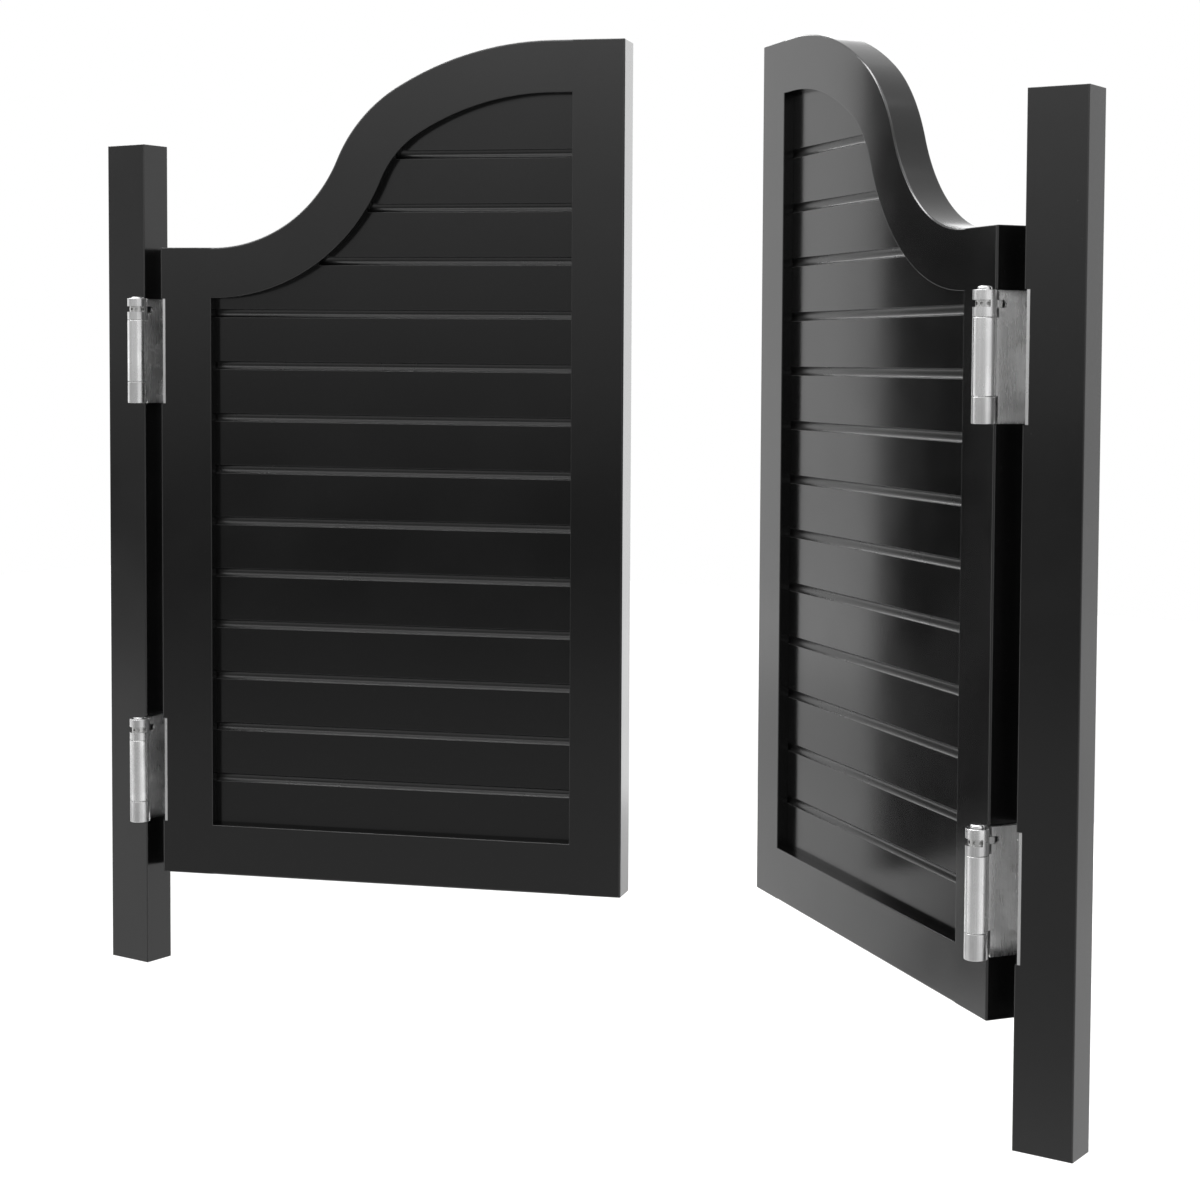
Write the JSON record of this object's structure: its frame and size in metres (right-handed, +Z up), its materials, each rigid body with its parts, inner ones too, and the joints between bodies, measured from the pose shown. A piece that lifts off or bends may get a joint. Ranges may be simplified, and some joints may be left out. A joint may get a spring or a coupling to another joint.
{
  "type": "cafe swinging doors",
  "caption": "Pair of half-height black swinging doors with S-curved tops and grooved board panels, hung from two posts on double-action spring hinges.",
  "frame": {"origin": "centre of the left post's wall face", "axes": "+X along the doorway from the left post to the right post, +Y away from the side that the doors are seen from, +Z up"},
  "size_m": [1.035, 0.3163, 0.886],
  "materials": {
    "post_paint": "satin black paint",
    "frame_paint": "satin black paint",
    "board_paint": "satin black paint, rougher in the grooves",
    "hinge_steel": "satin",
    "screw_steel": "satin",
    "spring_steel": "oiled"
  },
  "bodies": {
    "posts": {"left_post": "post_paint", "right_post": "post_paint", "left_upper_jamb_leaf": "hinge_steel", "left_lower_jamb_leaf": "hinge_steel", "right_upper_jamb_leaf": "hinge_steel", "right_lower_jamb_leaf": "hinge_steel", "jamb_collars": "hinge_steel", "jamb_screws": "screw_steel"},
    "left_webs": {"left_upper_web": "hinge_steel", "left_lower_web": "hinge_steel", "left_pivot_pins": "hinge_steel", "left_springs": "spring_steel"},
    "left_door": {"left_hinge_stile": "frame_paint", "left_lock_stile": "frame_paint", "left_top_rail": "frame_paint", "left_bottom_rail": "frame_paint", "left_board_01": "board_paint", "left_board_02": "board_paint", "left_board_03": "board_paint", "left_board_04": "board_paint", "left_board_05": "board_paint", "left_board_06": "board_paint", "left_board_07": "board_paint", "left_board_08": "board_paint", "left_board_09": "board_paint", "left_board_10": "board_paint", "left_board_11": "board_paint", "left_board_12": "board_paint", "left_board_13": "board_paint", "left_board_14": "board_paint", "left_upper_door_leaf": "hinge_steel", "left_lower_door_leaf": "hinge_steel", "left_door_collars": "hinge_steel", "left_door_screws": "screw_steel"},
    "right_webs": {"right_upper_web": "hinge_steel", "right_lower_web": "hinge_steel", "right_pivot_pins": "hinge_steel", "right_springs": "spring_steel"},
    "right_door": {"right_hinge_stile": "frame_paint", "right_lock_stile": "frame_paint", "right_top_rail": "frame_paint", "right_bottom_rail": "frame_paint", "right_board_01": "board_paint", "right_board_02": "board_paint", "right_board_03": "board_paint", "right_board_04": "board_paint", "right_board_05": "board_paint", "right_board_06": "board_paint", "right_board_07": "board_paint", "right_board_08": "board_paint", "right_board_09": "board_paint", "right_board_10": "board_paint", "right_board_11": "board_paint", "right_board_12": "board_paint", "right_board_13": "board_paint", "right_board_14": "board_paint", "right_upper_door_leaf": "hinge_steel", "right_lower_door_leaf": "hinge_steel", "right_door_collars": "hinge_steel", "right_door_screws": "screw_steel"}
  },
  "joints": [
    {"name": "left_web_swing", "type": "hinge", "parent": "posts", "child": "left_webs", "pos_m": [0.05225, -0.0256, 0], "axis": [0, 0, 1], "range_deg": [-90, 0], "stiffness_Nm_per_rad": 0.15},
    {"name": "left_door_swing", "type": "hinge", "parent": "left_webs", "child": "left_door", "pos_m": [0.05225, 0.0256, 0], "axis": [0, 0, 1], "range_deg": [-20.5, 69.5], "stiffness_Nm_per_rad": 0.15, "springref_deg": -20.5},
    {"name": "right_web_swing", "type": "hinge", "parent": "posts", "child": "right_webs", "pos_m": [0.98275, 0.0256, 0], "axis": [0, 0, 1], "range_deg": [-55, 35], "stiffness_Nm_per_rad": 0.15, "springref_deg": 35},
    {"name": "right_door_swing", "type": "hinge", "parent": "right_webs", "child": "right_door", "pos_m": [0.95338, -0.01634, 0], "axis": [0, 0, 1], "range_deg": [0, 90], "stiffness_Nm_per_rad": 0.15}
  ]
}
